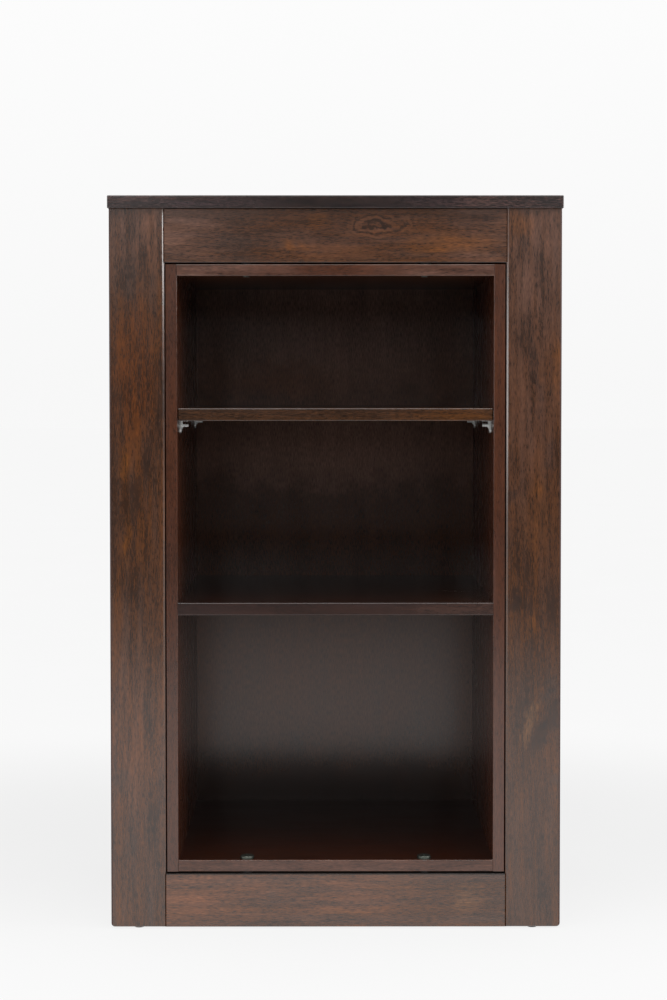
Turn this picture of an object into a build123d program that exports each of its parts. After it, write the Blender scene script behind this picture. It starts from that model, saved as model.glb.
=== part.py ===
"""Open bookcase: a framed outer shell with an inner case of fixed and adjustable shelves inside it.

Millimetres. X runs to the right seen from the front, Y runs to the back, Z is up. The origin is on the
floor under the middle of the top board. Sides are -1 for left and +1 for right.
"""

import os

from build123d import *

os.makedirs("parts", exist_ok=True)

LEFT = -1
RIGHT = 1
SIDES = (LEFT, RIGHT)

# Driving dimensions of the outer shell
overall_width = 610.0
overall_depth = 400.0
glide_height = 2.0
stile_width = 74.0
rail_height = 72.0
opening_height = 825.0
top_thickness = 17.0
top_side_overhang = 1.5
top_front_overhang = 6.0
stile_thickness = 23.0
rail_setback = 1.0
outer_side_thickness = 18.0
rear_frame_thickness = 22.0
back_panel_thickness = 5.0
back_panel_setback = 1.0

# Driving dimensions of the inner case
panel_thickness = 15.5
case_side_gap = 1.5
case_lower_gap = 3.0
case_upper_gap = 2.5
case_setback = 2.0
shelf_thickness = 17.0
lower_clear_height = 332.0
middle_clear_height = 245.0
shelf_end_gap = 1.5
shelf_setback = 3.0
shelf_rear_gap = 12.0

# Eased and rounded edges
stile_outer_round = 2.5
foot_round = 5.0
stile_inner_chamfer = 2.4
rail_chamfer = 0.6
top_round = 1.6
top_under_round = 0.8
panel_round = 1.1
shelf_round = 1.3

# Fasteners: a clearance all round stands for the glue line or the cut thread
fit_clearance = 0.05
dowel_radius = 4.0
dowel_length = 40.0
dowel_chamfer = 0.8
dowel_spread = 36.0
batten_width = 20.0
case_screw_radius = 2.5
case_screw_head_radius = 4.75
case_screw_length = 50.0
case_screw_spread = 150.0
wood_screw_radius = 2.0
wood_screw_head_radius = 4.0
top_screw_length = 30.0
top_screw_spread = 130.0
bearer_screw_length = 45.0
bearer_screw_spread = 240.0
back_screw_radius = 1.75
back_screw_head_radius = 3.5
back_screw_length = 20.0
post_screw_shares = (0.06, 0.35, 0.65, 0.94)

# Connector bolts that tie the case to the front rails: wide domed heads below, small ones above
bolt_offset = 120.0
bolt_setback = 12.5
lower_head_radius = 9.5
lower_head_thickness = 4.5
lower_socket_radius = 2.6
upper_head_radius = 4.5
upper_head_thickness = 1.2
upper_socket_radius = 2.0
bolt_radius = 3.0
bolt_length = 36.0
bolt_socket_depth = 0.8
head_dome = 0.6
insert_radius = 4.5
insert_length = 15.0
spacer_radius = 8.0

# Nail-on glides
glide_radius = 7.0
glide_round = 0.65
glide_counterbore_radius = 3.0
glide_counterbore_depth = 1.0
nail_radius = 1.2
nail_length = 18.0
nail_head_thickness = 0.8

# Shelf supports and the holes that they plug into
support_front_setback = 53.0
support_rear_setback = 345.0
support_pitch = 32.0
support_hole_radius = 2.55
support_hole_depth = 10.5
support_pin_radius = 2.5
support_pin_length = 9.5
support_width = 12.0
support_drop = 17.2
support_plate_thickness = 1.8
support_ledge_length = 12.0
support_ledge_thickness = 1.5
support_bar_length = 11.5
support_bar_radius = 2.0
support_bar_drop = 7.0
support_web_thickness = 2.4
support_web_width = 3.5
support_gusset_width = 6.0
support_gusset_drop = 8.5
support_bar_round = 0.6
support_pin_chamfer = 0.5
support_foot_round = 4.8
support_ledge_round = 2.4

# Positions that follow from them
shell_half_width = overall_width / 2 - top_side_overhang
shell_bottom = glide_height
opening_bottom = shell_bottom + rail_height
opening_top = opening_bottom + opening_height
shell_top = opening_top + rail_height
shell_height = shell_top - shell_bottom
opening_half_width = shell_half_width - stile_width
frame_front = top_front_overhang - overall_depth / 2
frame_back = frame_front + stile_thickness
rail_front = frame_front + rail_setback
shell_back = overall_depth / 2
back_panel_rear = shell_back - back_panel_setback
carcass_back = back_panel_rear - back_panel_thickness
rear_frame_front = carcass_back - rear_frame_thickness
outer_side_inner_x = shell_half_width - outer_side_thickness

case_half_width = opening_half_width - case_side_gap
case_inner_half_width = case_half_width - panel_thickness
case_bottom_z = opening_bottom + case_lower_gap
case_top_z = opening_top - case_upper_gap
case_front = frame_front + case_setback
case_middle_y = (carcass_back + case_front) / 2
floor_z = case_bottom_z + panel_thickness
fixed_shelf_z = floor_z + lower_clear_height
fixed_shelf_top_z = fixed_shelf_z + shelf_thickness
adjustable_shelf_z = fixed_shelf_top_z + middle_clear_height
ceiling_z = case_top_z - panel_thickness
half_panel = panel_thickness / 2
fixed_panel_levels = (
    case_bottom_z + half_panel,
    fixed_shelf_z + shelf_thickness / 2,
    case_top_z - half_panel,
)

bolt_y = case_front + bolt_setback
rail_middle_y = (rail_front + frame_back) / 2
rear_frame_middle_y = (rear_frame_front + carcass_back) / 2
rail_levels = (
    shell_bottom + rail_height / 2,
    shell_top - rail_height / 2,
)
support_columns = (
    case_front + support_front_setback,
    case_front + support_rear_setback,
)
support_pin_z = adjustable_shelf_z - support_bar_drop

ON_SEAT = (Align.CENTER, Align.CENTER, Align.MAX)


def span_rectangle(low_x, high_x, low_y, high_y):
    """Draws a rectangle between two x values and two y values."""
    with Locations(((low_x + high_x) / 2, (low_y + high_y) / 2)):
        Rectangle(abs(high_x - low_x), abs(high_y - low_y))


def drill(seats, radius, depth):
    """Drills a blind hole behind each seat plane."""
    with Locations(*seats):
        Cylinder(radius + fit_clearance, depth, align=ON_SEAT, mode=Mode.SUBTRACT)


def drill_countersunk(seats, shank_radius, head_radius, depth):
    """Drills a hole with a 90 degree countersink behind each seat plane."""
    drill(seats, shank_radius, depth)
    with Locations(*seats):
        Cone(
            shank_radius + fit_clearance,
            head_radius + fit_clearance,
            head_radius - shank_radius,
            align=ON_SEAT,
            mode=Mode.SUBTRACT,
        )


def add_screws(seats, shank_radius, head_radius, length):
    """Adds countersunk screws with heads flush with their seats and a cross recess in each head."""
    tip_length = 2 * shank_radius
    tip_radius = shank_radius / 4
    recess_width = shank_radius / 2
    recess_depth = (head_radius - shank_radius) * 0.8
    with Locations(*seats):
        Cone(shank_radius, head_radius, head_radius - shank_radius, align=ON_SEAT)
        Cylinder(shank_radius, length - tip_length, align=ON_SEAT)
    with Locations(*[seat.offset(tip_length - length) for seat in seats]):
        Cone(tip_radius, shank_radius, tip_length, align=ON_SEAT)
    with Locations(*seats):
        Box(head_radius, recess_width, recess_depth, align=ON_SEAT, mode=Mode.SUBTRACT)
        Box(recess_width, head_radius, recess_depth, align=ON_SEAT, mode=Mode.SUBTRACT)


def dowel_seats(side, joint_x, middle_y):
    """Planes on a dowelled joint's face on one side, each facing the middle of the bookcase."""
    return [
        Plane((side * joint_x, middle_y, level + offset), z_dir=(-side, 0, 0))
        for level in rail_levels
        for offset in (-dowel_spread / 2, dowel_spread / 2)
    ]


def facing_away(seats):
    """The same planes turned to face the other way."""
    return [Plane(seat.origin, z_dir=-seat.z_dir) for seat in seats]


def case_screw_seats(side, x, levels=fixed_panel_levels):
    """Planes for the screws through one case side, on the face at x."""
    return [
        Plane((side * x, case_middle_y + step * case_screw_spread, level), z_dir=(side, 0, 0))
        for level in levels
        for step in (-1, 0, 1)
    ]


def top_screw_seats(side, z):
    """Planes for the screws up through one top cleat."""
    middle_x = side * (outer_side_inner_x - batten_width / 2)
    return [
        Plane((middle_x, step * top_screw_spread, z), z_dir=(0, 0, -1)) for step in (-1, 0, 1)
    ]


def bearer_screw_seats(side, z):
    """Planes for the screws up through one bearer into the lower edge of the case side."""
    middle_x = side * (case_half_width - half_panel)
    return [
        Plane((middle_x, step * bearer_screw_spread / 2, z), z_dir=(0, 0, -1))
        for step in (-1, 1)
    ]


def post_screw_seats(side, y):
    """Planes for the back panel's screws into one rear post."""
    middle_x = side * (case_half_width + outer_side_inner_x) / 2
    return [
        Plane((middle_x, y, shell_bottom + shell_height * share), z_dir=(0, 1, 0))
        for share in post_screw_shares
    ]


def cross_screw_seats(level, y):
    """Planes for the back panel's two screws into a rear rail or into the fixed shelf."""
    return [Plane((side * bolt_offset, y, level), z_dir=(0, 1, 0)) for side in SIDES]


def bolt_seats(level, facing):
    """Planes for the two connector bolts on one level, facing up or down."""
    return [Plane((side * bolt_offset, bolt_y, level), z_dir=(0, 0, facing)) for side in SIDES]


def glide_centres():
    """Centre of each glide by its name."""
    middle_x = shell_half_width - stile_width / 2
    rows = {"front": (frame_front + frame_back) / 2, "rear": rear_frame_middle_y}
    columns = {"left": LEFT * middle_x, "right": RIGHT * middle_x}
    return {
        f"{row}_{column}": (columns[column], rows[row]) for row in rows for column in columns
    }


def nail_seats(side, row):
    """Plane for one glide's nail where it enters the shell, facing down."""
    column = "left" if side == LEFT else "right"
    x, y = glide_centres()[f"{row}_{column}"]
    return [Plane((x, y, shell_bottom), z_dir=(0, 0, -1))]


# ---------------------------------------------------------------- outer shell

with BuildPart() as top_board:
    with BuildSketch(Plane.XY.offset(shell_top)):
        Rectangle(overall_width, overall_depth)
    extrude(amount=top_thickness)
    fillet(top_board.edges().filter_by(Axis.Z), top_round)
    fillet(top_board.faces().sort_by(Axis.Z)[-1].edges(), top_round)
    fillet(top_board.faces().sort_by(Axis.Z)[0].edges(), top_under_round)
    for side in SIDES:
        drill(top_screw_seats(side, shell_top), wood_screw_radius, top_screw_length - batten_width)


def round_outer_foot(board, side):
    """Rounds the lower outer edge of an upright board, from its front to its back."""
    foot_edges = board.edges().group_by(Axis.Z)[0].filter_by(Axis.Y).sort_by(Axis.X)
    fillet(foot_edges[0 if side == LEFT else -1], foot_round)


def make_stile(side):
    """Front upright of the face frame, over the full height of the shell."""
    with BuildPart() as stile:
        with BuildSketch(Plane.XY.offset(shell_bottom)):
            span_rectangle(
                side * opening_half_width, side * shell_half_width, frame_front, frame_back
            )
        extrude(amount=shell_height)
        round_outer_foot(stile, side)
        front_edges = stile.edges().filter_by(Axis.Z).group_by(Axis.Y)[0].sort_by(Axis.X)
        chamfer(front_edges[-1 if side == LEFT else 0], stile_inner_chamfer)
        front_edges = stile.edges().filter_by(Axis.Z).group_by(Axis.Y)[0].sort_by(Axis.X)
        fillet(front_edges[0 if side == LEFT else -1], stile_outer_round)
        joint_seats = dowel_seats(side, opening_half_width, rail_middle_y)
        drill(joint_seats, dowel_radius, dowel_length / 2)
        drill(nail_seats(side, "front"), nail_radius, nail_length)
    return stile


left_stile = make_stile(LEFT)
right_stile = make_stile(RIGHT)


def make_front_rail(low_z, bolt_level, facing):
    """Front cross member between the stiles, with its bolt holes on the side that faces the opening."""
    with BuildPart() as rail:
        with BuildSketch(Plane.XY.offset(low_z)):
            span_rectangle(-opening_half_width, opening_half_width, rail_front, frame_back)
        extrude(amount=rail_height)
        chamfer(rail.edges().group_by(Axis.Y)[0], rail_chamfer)
        for side in SIDES:
            joint_seats = facing_away(dowel_seats(side, opening_half_width, rail_middle_y))
            own_seats = [
                seat
                for seat in joint_seats
                if low_z < seat.origin.Z < low_z + rail_height
            ]
            drill(own_seats, dowel_radius, dowel_length / 2)
        insert_seats = bolt_seats(bolt_level, facing)
        drill(insert_seats, insert_radius, insert_length)
        drill(insert_seats, bolt_radius, bolt_length)
    return rail


bottom_rail = make_front_rail(shell_bottom, opening_bottom, 1)
top_rail = make_front_rail(opening_top, opening_top, -1)


def make_outer_side(side):
    """Plain side panel, glued behind the stile and flush with its outer face."""
    with BuildPart() as panel:
        with BuildSketch(Plane.XY.offset(shell_bottom)):
            span_rectangle(
                side * outer_side_inner_x, side * shell_half_width, frame_back, shell_back
            )
        extrude(amount=shell_height)
        round_outer_foot(panel, side)
        rear_edges = panel.edges().filter_by(Axis.Z).group_by(Axis.Y)[-1]
        fillet(rear_edges, rail_chamfer)
    return panel


left_outer_side = make_outer_side(LEFT)
right_outer_side = make_outer_side(RIGHT)


def make_rear_post(side):
    """Rear upright that fills the space between the case side and the outer side."""
    with BuildPart() as post:
        with BuildSketch(Plane.XY.offset(shell_bottom)):
            span_rectangle(
                side * case_half_width, side * outer_side_inner_x, rear_frame_front, carcass_back
            )
        extrude(amount=shell_height)
        joint_seats = dowel_seats(side, case_half_width, rear_frame_middle_y)
        drill(joint_seats, dowel_radius, dowel_length / 2)
        screw_depth = back_screw_length - back_panel_thickness
        drill(post_screw_seats(side, carcass_back), back_screw_radius, screw_depth)
        drill(nail_seats(side, "rear"), nail_radius, nail_length)
    return post


left_rear_post = make_rear_post(LEFT)
right_rear_post = make_rear_post(RIGHT)


def make_rear_rail(low_z):
    """Rear cross member between the rear posts, above or below the case."""
    with BuildPart() as rail:
        with BuildSketch(Plane.XY.offset(low_z)):
            span_rectangle(-case_half_width, case_half_width, rear_frame_front, carcass_back)
        extrude(amount=rail_height)
        for side in SIDES:
            joint_seats = facing_away(dowel_seats(side, case_half_width, rear_frame_middle_y))
            own_seats = [
                seat
                for seat in joint_seats
                if low_z < seat.origin.Z < low_z + rail_height
            ]
            drill(own_seats, dowel_radius, dowel_length / 2)
        middle_z = low_z + rail_height / 2
        screw_depth = back_screw_length - back_panel_thickness
        drill(cross_screw_seats(middle_z, carcass_back), back_screw_radius, screw_depth)
    return rail


rear_bottom_rail = make_rear_rail(shell_bottom)
rear_top_rail = make_rear_rail(opening_top)


def make_dowels(joint_x, middle_y):
    """Fluted beech dowels, drawn as plain pins, across the four joints of one frame."""
    with BuildPart() as dowels:
        for side in SIDES:
            with Locations(*dowel_seats(side, joint_x, middle_y)):
                Cylinder(dowel_radius, dowel_length - 2 * fit_clearance)
        chamfer(dowels.edges().filter_by(GeomType.CIRCLE), dowel_chamfer)
    return dowels


rail_dowels = make_dowels(opening_half_width, rail_middle_y)
rear_rail_dowels = make_dowels(case_half_width, rear_frame_middle_y)


def make_top_cleat(side):
    """Batten glued inside the outer side, which holds the top board."""
    with BuildPart() as cleat:
        with BuildSketch(Plane.XY.offset(shell_top - batten_width)):
            span_rectangle(
                side * (outer_side_inner_x - batten_width),
                side * outer_side_inner_x,
                frame_back,
                rear_frame_front,
            )
        extrude(amount=batten_width)
        seats = top_screw_seats(side, shell_top - batten_width)
        drill_countersunk(seats, wood_screw_radius, wood_screw_head_radius, batten_width)
    return cleat


left_top_cleat = make_top_cleat(LEFT)
right_top_cleat = make_top_cleat(RIGHT)

with BuildPart() as top_board_screws:
    for side in SIDES:
        seats = top_screw_seats(side, shell_top - batten_width)
        add_screws(seats, wood_screw_radius, wood_screw_head_radius, top_screw_length)


def make_case_bearer(side):
    """Batten glued inside the outer side, on which the case stands."""
    with BuildPart() as bearer:
        with BuildSketch(Plane.XY.offset(case_bottom_z - batten_width)):
            span_rectangle(
                side * (case_inner_half_width - half_panel / 2),
                side * outer_side_inner_x,
                frame_back,
                rear_frame_front,
            )
        extrude(amount=batten_width)
        seats = bearer_screw_seats(side, case_bottom_z - batten_width)
        drill_countersunk(seats, wood_screw_radius, wood_screw_head_radius, batten_width)
    return bearer


left_case_bearer = make_case_bearer(LEFT)
right_case_bearer = make_case_bearer(RIGHT)

with BuildPart() as bearer_screws:
    for side in SIDES:
        seats = bearer_screw_seats(side, case_bottom_z - batten_width)
        add_screws(seats, wood_screw_radius, wood_screw_head_radius, bearer_screw_length)

back_panel_seats = [
    *post_screw_seats(LEFT, back_panel_rear),
    *post_screw_seats(RIGHT, back_panel_rear),
    *cross_screw_seats(rail_levels[0], back_panel_rear),
    *cross_screw_seats(rail_levels[1], back_panel_rear),
    *cross_screw_seats(fixed_panel_levels[1], back_panel_rear),
]

with BuildPart() as back_panel:
    with BuildSketch(Plane.XY.offset(shell_bottom)):
        span_rectangle(-outer_side_inner_x, outer_side_inner_x, carcass_back, back_panel_rear)
    extrude(amount=shell_height)
    drill_countersunk(
        back_panel_seats, back_screw_radius, back_screw_head_radius, back_panel_thickness
    )

with BuildPart() as back_panel_screws:
    add_screws(back_panel_seats, back_screw_radius, back_screw_head_radius, back_screw_length)

# ---------------------------------------------------------------- inner case


def make_case_side(side):
    """Side of the inner case, with its screw holes and two columns of shelf support holes."""
    with BuildPart() as panel:
        with BuildSketch(Plane.XY.offset(case_bottom_z)):
            span_rectangle(
                side * case_inner_half_width, side * case_half_width, case_front, carcass_back
            )
        extrude(amount=case_top_z - case_bottom_z)
        front_edges = panel.edges().filter_by(Axis.Z).group_by(Axis.Y)[0]
        fillet(front_edges, panel_round)
        drill_countersunk(
            case_screw_seats(side, case_half_width),
            case_screw_radius,
            case_screw_head_radius,
            panel_thickness,
        )
        screw_depth = bearer_screw_length - batten_width
        drill(bearer_screw_seats(side, case_bottom_z), wood_screw_radius, screw_depth)
        support_seats = [
            Plane(
                (side * case_inner_half_width, y, support_pin_z + step * support_pitch),
                z_dir=(-side, 0, 0),
            )
            for y in support_columns
            for step in (-1, 0, 1)
        ]
        drill(support_seats, support_hole_radius - fit_clearance, support_hole_depth)
    return panel


case_left_side = make_case_side(LEFT)
case_right_side = make_case_side(RIGHT)


def make_fixed_panel(low_z, thickness, rounding, bolt_level=None, facing=0):
    """Cross panel screwed between the case sides, with holes for the connector bolts if it has any."""
    with BuildPart() as panel:
        with BuildSketch(Plane.XY.offset(low_z)):
            span_rectangle(
                -case_inner_half_width, case_inner_half_width, case_front, carcass_back
            )
        extrude(amount=thickness)
        fillet(panel.edges().filter_by(Axis.X).group_by(Axis.Y)[0], rounding)
        screw_depth = case_screw_length - panel_thickness
        for side in SIDES:
            seats = case_screw_seats(side, case_inner_half_width, (low_z + thickness / 2,))
            drill(seats, case_screw_radius, screw_depth)
        if facing:
            drill(bolt_seats(bolt_level, facing), bolt_radius, thickness)
    return panel


case_bottom = make_fixed_panel(case_bottom_z, panel_thickness, panel_round, floor_z, 1)
case_top = make_fixed_panel(ceiling_z, panel_thickness, panel_round, ceiling_z, -1)
fixed_shelf = make_fixed_panel(fixed_shelf_z, shelf_thickness, shelf_round)

with BuildPart(mode=Mode.PRIVATE) as shelf_screw_holes:
    screw_depth = back_screw_length - back_panel_thickness
    seats = cross_screw_seats(fixed_panel_levels[1], carcass_back)
    with Locations(*seats):
        Cylinder(back_screw_radius + fit_clearance, screw_depth, align=ON_SEAT)
with fixed_shelf:
    add(shelf_screw_holes.part, mode=Mode.SUBTRACT)

with BuildPart() as case_screws:
    for side in SIDES:
        seats = case_screw_seats(side, case_half_width)
        add_screws(seats, case_screw_radius, case_screw_head_radius, case_screw_length)

# ---------------------------------------------------------------- ties between case and frame

lower_seats = bolt_seats(floor_z, 1)
upper_seats = bolt_seats(ceiling_z, -1)
lower_crowns = [seat.offset(lower_head_thickness) for seat in lower_seats]
upper_crowns = [seat.offset(upper_head_thickness) for seat in upper_seats]

with BuildPart() as frame_bolts:
    with Locations(*lower_crowns):
        Cylinder(lower_head_radius, lower_head_thickness, align=ON_SEAT)
    with Locations(*upper_crowns):
        Cylinder(upper_head_radius, upper_head_thickness, align=ON_SEAT)
    head_rims = frame_bolts.edges().filter_by(GeomType.CIRCLE).group_by(Axis.Z)
    fillet(head_rims[1], lower_head_thickness * head_dome)
    fillet(head_rims[2], upper_head_thickness * head_dome)
    with Locations(*lower_seats, *upper_seats):
        Cylinder(bolt_radius, bolt_length - fit_clearance, align=ON_SEAT)
    with BuildSketch(*lower_crowns):
        RegularPolygon(lower_socket_radius, 6)
    with BuildSketch(*upper_crowns):
        RegularPolygon(upper_socket_radius, 6)
    extrude(amount=-bolt_socket_depth, mode=Mode.SUBTRACT)

insert_seats = [*bolt_seats(opening_bottom, 1), *bolt_seats(opening_top, -1)]

with BuildPart() as bolt_inserts:
    with Locations(*insert_seats):
        Cylinder(insert_radius, insert_length, align=ON_SEAT)
    drill(insert_seats, bolt_radius, insert_length)

with BuildPart() as gap_spacers:
    with Locations(*[seat.offset(case_lower_gap) for seat in bolt_seats(opening_bottom, 1)]):
        Cylinder(spacer_radius, case_lower_gap, align=ON_SEAT)
    with Locations(*[seat.offset(case_upper_gap) for seat in bolt_seats(opening_top, -1)]):
        Cylinder(spacer_radius, case_upper_gap, align=ON_SEAT)
    drill([seat.offset(case_lower_gap) for seat in insert_seats], bolt_radius, case_lower_gap)

# ---------------------------------------------------------------- feet


def make_glide(centre):
    """Round glide with a counterbore for its nail's head."""
    with BuildPart() as glide:
        with BuildSketch():
            with Locations(centre):
                Circle(glide_radius)
        extrude(amount=glide_height)
        fillet(glide.edges().group_by(Axis.Z)[0], glide_round)
        with Locations(Plane((*centre, 0), z_dir=(0, 0, -1))):
            Cylinder(
                glide_counterbore_radius,
                glide_counterbore_depth,
                align=ON_SEAT,
                mode=Mode.SUBTRACT,
            )
            Cylinder(
                nail_radius + fit_clearance, glide_height, align=ON_SEAT, mode=Mode.SUBTRACT
            )
    return glide


glides = {
    f"floor_glide_{place}": make_glide(centre) for place, centre in glide_centres().items()
}

with BuildPart() as glide_nails:
    for centre in glide_centres().values():
        with Locations(Plane((*centre, glide_counterbore_depth), z_dir=(0, 0, 1))):
            Cylinder(
                glide_counterbore_radius - 2 * fit_clearance, nail_head_thickness, align=ON_SEAT
            )
        with Locations(Plane((*centre, nail_length), z_dir=(0, 0, 1))):
            Cylinder(nail_radius, nail_length - glide_counterbore_depth, align=ON_SEAT)

# ---------------------------------------------------------------- adjustable shelf and its supports

with BuildPart() as adjustable_shelf:
    shelf_half_width = case_inner_half_width - shelf_end_gap
    with BuildSketch(Plane.XY.offset(adjustable_shelf_z)):
        span_rectangle(
            -shelf_half_width,
            shelf_half_width,
            case_front + shelf_setback,
            carcass_back - shelf_rear_gap,
        )
    extrude(amount=shelf_thickness)
    fillet(adjustable_shelf.edges().filter_by(Axis.X).group_by(Axis.Y)[0], shelf_round)


def make_support(side, y):
    """Metal support: a wall plate, a ledge under the shelf, a web with a gusset, a pin and a round bar."""
    wall_x = side * case_inner_half_width
    inward = -side
    bar_end_x = wall_x + inward * support_bar_length
    web_x = wall_x + inward * support_web_width
    gusset_x = wall_x + inward * support_gusset_width
    with BuildPart() as support:
        with Locations(Plane((bar_end_x, y, support_pin_z), z_dir=(inward, 0, 0))):
            Cylinder(support_bar_radius, support_bar_length, align=ON_SEAT)
        with Locations(Plane((wall_x, y, support_pin_z), z_dir=(inward, 0, 0))):
            Cylinder(support_pin_radius, support_pin_length, align=ON_SEAT)
        round_edges = support.edges().filter_by(GeomType.CIRCLE).sort_by(Axis.X)
        bar_end = round_edges[-1 if side == LEFT else 0]
        pin_end = round_edges[0 if side == LEFT else -1]
        fillet(bar_end, support_bar_round)
        chamfer(pin_end, support_pin_chamfer)
        with BuildSketch(Plane.YZ.offset(wall_x)):
            with Locations((y, adjustable_shelf_z - support_drop / 2)):
                Rectangle(support_width, support_drop)
        extrude(amount=inward * support_plate_thickness)
        foot_edges = support.edges().filter_by(Axis.X).group_by(Axis.Z)[0]
        fillet(foot_edges, support_foot_round)
        with BuildSketch(Plane.YZ.offset(wall_x)):
            with Locations((y, adjustable_shelf_z - support_ledge_thickness / 2)):
                Rectangle(support_width, support_ledge_thickness)
        extrude(amount=inward * support_ledge_length)
        ledge_edges = support.edges().filter_by(Axis.Z).sort_by(Axis.X)
        fillet(ledge_edges[-2:] if side == LEFT else ledge_edges[:2], support_ledge_round)
        with BuildSketch(Plane.XZ.offset(-y - support_web_thickness / 2)):
            with BuildLine():
                Polyline(
                    (wall_x, adjustable_shelf_z - support_ledge_thickness / 2),
                    (web_x, adjustable_shelf_z - support_ledge_thickness / 2),
                    (web_x, support_pin_z),
                    (gusset_x, support_pin_z),
                    (wall_x, support_pin_z - support_gusset_drop),
                    close=True,
                )
            make_face()
        extrude(amount=support_web_thickness)
    return support


supports = {
    f"shelf_support_{row}_{column}": make_support(side, y)
    for row, y in zip(("front", "rear"), support_columns)
    for column, side in zip(("left", "right"), SIDES)
}

# ---------------------------------------------------------------- export

pieces = {
    "top_board": top_board,
    "left_stile": left_stile,
    "right_stile": right_stile,
    "top_rail": top_rail,
    "bottom_rail": bottom_rail,
    "rail_dowels": rail_dowels,
    "left_outer_side": left_outer_side,
    "right_outer_side": right_outer_side,
    "left_rear_post": left_rear_post,
    "right_rear_post": right_rear_post,
    "rear_top_rail": rear_top_rail,
    "rear_bottom_rail": rear_bottom_rail,
    "rear_rail_dowels": rear_rail_dowels,
    "left_top_cleat": left_top_cleat,
    "right_top_cleat": right_top_cleat,
    "top_board_screws": top_board_screws,
    "left_case_bearer": left_case_bearer,
    "right_case_bearer": right_case_bearer,
    "bearer_screws": bearer_screws,
    "back_panel": back_panel,
    "back_panel_screws": back_panel_screws,
    "case_left_side": case_left_side,
    "case_right_side": case_right_side,
    "case_top": case_top,
    "case_bottom": case_bottom,
    "fixed_shelf": fixed_shelf,
    "case_screws": case_screws,
    "frame_bolts": frame_bolts,
    "bolt_inserts": bolt_inserts,
    "gap_spacers": gap_spacers,
    "glide_nails": glide_nails,
    "adjustable_shelf": adjustable_shelf,
    **glides,
    **supports,
}

for name, piece in pieces.items():
    piece.part.label = name
    export_step(piece.part, f"parts/{name}.step")
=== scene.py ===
"""Open bookcase with a face frame: materials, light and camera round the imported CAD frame.

Metres, in the CAD frame: X to the right, Y to the back, Z up, origin on the floor under the middle.
"""

import math

import bpy
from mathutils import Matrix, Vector


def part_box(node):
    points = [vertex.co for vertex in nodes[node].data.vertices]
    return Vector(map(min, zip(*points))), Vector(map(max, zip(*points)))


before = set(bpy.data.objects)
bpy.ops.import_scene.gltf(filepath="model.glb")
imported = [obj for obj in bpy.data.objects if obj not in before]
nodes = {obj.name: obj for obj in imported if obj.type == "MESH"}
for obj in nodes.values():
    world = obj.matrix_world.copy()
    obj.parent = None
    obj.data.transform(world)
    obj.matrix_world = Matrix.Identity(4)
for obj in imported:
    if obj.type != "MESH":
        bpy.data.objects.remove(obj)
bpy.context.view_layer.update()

# ---------------------------------------------------------------- shader node helper


class Graph:
    """Shader nodes of a new material or world, added and linked by short calls."""

    def __init__(self, owner):
        self.owner = owner
        owner.use_nodes = True
        self.tree = owner.node_tree
        self.tree.nodes.clear()

    def feed(self, socket, value):
        """Links a socket to a socket, or sets it to a value."""
        if isinstance(value, bpy.types.NodeSocket):
            self.tree.links.new(value, socket)
        else:
            socket.default_value = value

    def node(self, kind, inputs=None, **settings):
        """Adds a node with these settings and inputs."""
        added = self.tree.nodes.new(kind)
        for key, value in settings.items():
            setattr(added, key, value)
        for key, value in (inputs or {}).items():
            self.feed(added.inputs[key], value)
        return added

    def maths(self, operation, first, second=0.0, third=0.0):
        """One arithmetic step, as the socket of its result."""
        step = self.node("ShaderNodeMath", operation=operation)
        for socket, value in zip(step.inputs, (first, second, third)):
            self.feed(socket, value)
        return step.outputs[0]

    def mapped(self, value, low, high, new_low=0.0, new_high=1.0, smooth=False):
        """Maps a value's range to another range, clamped."""
        step = self.node("ShaderNodeMapRange")
        step.interpolation_type = "SMOOTHSTEP" if smooth else "LINEAR"
        for key, number in (
            ("Value", value),
            ("From Min", low),
            ("From Max", high),
            ("To Min", new_low),
            ("To Max", new_high),
        ):
            self.feed(step.inputs[key], number)
        return step.outputs[0]

    def mixed(self, share, first, second, blend_type="MIX"):
        """Mixes two colours by a share."""
        step = self.node("ShaderNodeMix", data_type="RGBA", blend_type=blend_type)
        step.clamp_factor = True
        self.feed(step.inputs[0], share)
        self.feed(step.inputs[6], first)
        self.feed(step.inputs[7], second)
        return step.outputs[2]

    def noise(self, vector, scale, detail=2.0, roughness=0.5, distortion=0.0):
        """Fractal noise of a coordinate, from about 0 to 1."""
        inputs = {
            "Vector": vector,
            "Scale": scale,
            "Detail": detail,
            "Roughness": roughness,
            "Distortion": distortion,
        }
        return self.node("ShaderNodeTexNoise", inputs).outputs[0]

    def object_coordinates(self):
        """The place on the object, which is the place in the frame, in metres."""
        return self.node("ShaderNodeTexCoord").outputs["Object"]

    def bump(self, strength, distance, height):
        """The normal of a rough surface, for a height from about 0 to 1 times this distance."""
        inputs = {"Strength": strength, "Distance": distance, "Height": height}
        return self.node("ShaderNodeBump", inputs).outputs[0]

    def vectors(self, operation, first, second=(0.0, 0.0, 0.0)):
        """One step of vector arithmetic, as its node."""
        step = self.node("ShaderNodeVectorMath", operation=operation)
        self.feed(step.inputs[0], first)
        self.feed(step.inputs[1], second)
        return step

    def waves(self, vector, per_metre, detail=2.0, roughness=0.5, distortion=0.0):
        """Fractal noise with this many waves per metre on each axis, from about 0 to 1."""
        stretched = self.vectors("MULTIPLY", vector, per_metre).outputs[0]
        return self.noise(stretched, 1.0, detail, roughness, distortion)

    def surface(self, inputs):
        """Adds a Principled shader with these inputs as the surface, and returns the material."""
        shader = self.node("ShaderNodeBsdfPrincipled", inputs)
        self.node("ShaderNodeOutputMaterial", {"Surface": shader.outputs[0]})
        return self.owner


def colour(red, green, blue):
    """A linear colour with full alpha."""
    return (red, green, blue, 1.0)


# ---------------------------------------------------------------- wood

AXES = "XYZ"
MILLIMETRE = 0.001

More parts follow.
